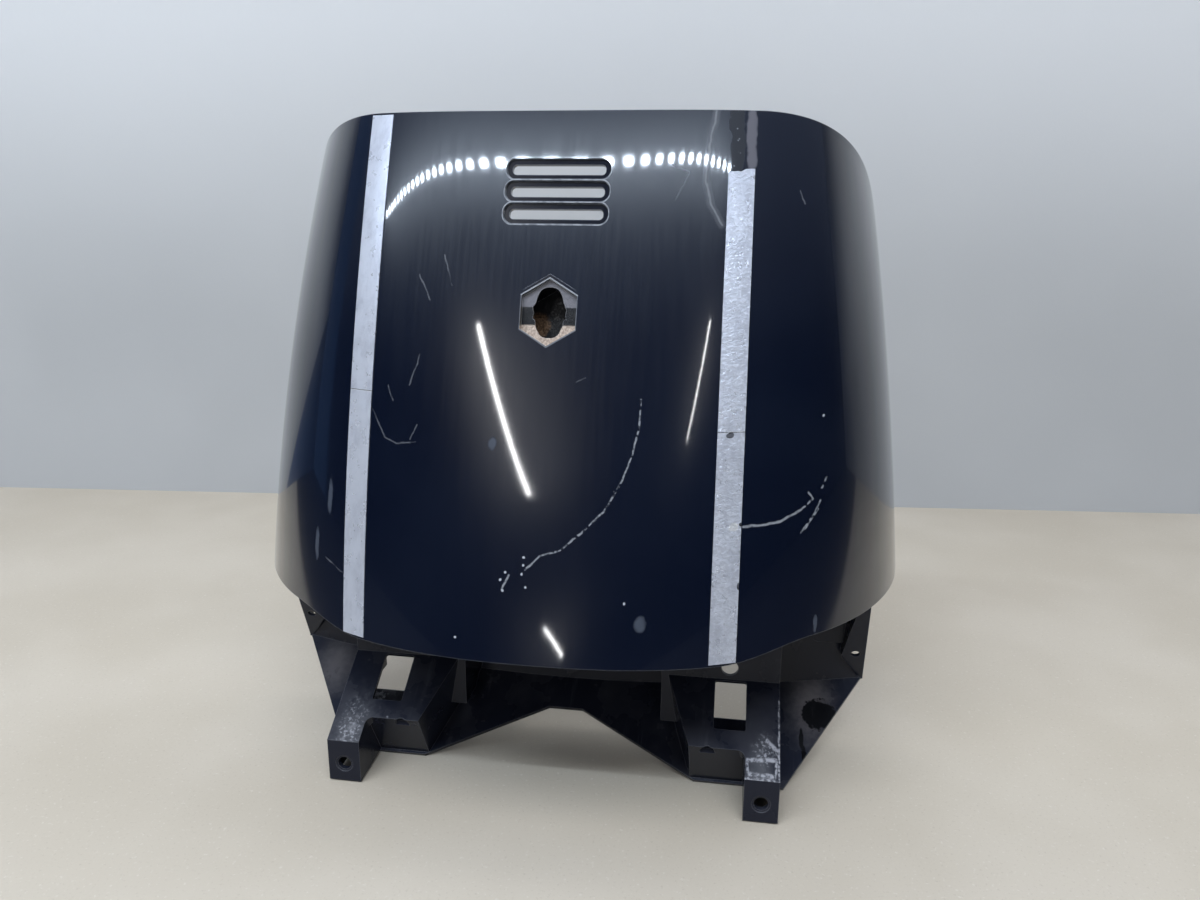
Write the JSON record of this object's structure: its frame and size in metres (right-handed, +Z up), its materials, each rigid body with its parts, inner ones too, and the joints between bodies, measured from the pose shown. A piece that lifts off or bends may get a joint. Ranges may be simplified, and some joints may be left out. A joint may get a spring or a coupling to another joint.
{
  "type": "scooter front fairing",
  "caption": "Front shield of a motor scooter, moulded in one piece with its lower carrier, with vent slots, badge seat and hand-laid tape stripes",
  "frame": {"origin": "midway between the two arm screw holes, in the plane of their sunk seats", "axes": "+X right as seen from the front, -Y forward out of the shield, +Z up in the stand in which it was pictured"},
  "size_m": [0.448, 0.2025, 0.4235],
  "materials": {
    "fairing_plastic": "glossy deep blue-black, worn",
    "silver_tape": "satin silver, wrinkled and dirty"
  },
  "bodies": {
    "root": {"fairing": "fairing_plastic", "left_stripe_upper": "silver_tape", "left_stripe_lower": "silver_tape", "right_stripe_upper": "silver_tape", "right_stripe_lower": "silver_tape"}
  },
  "joints": []
}
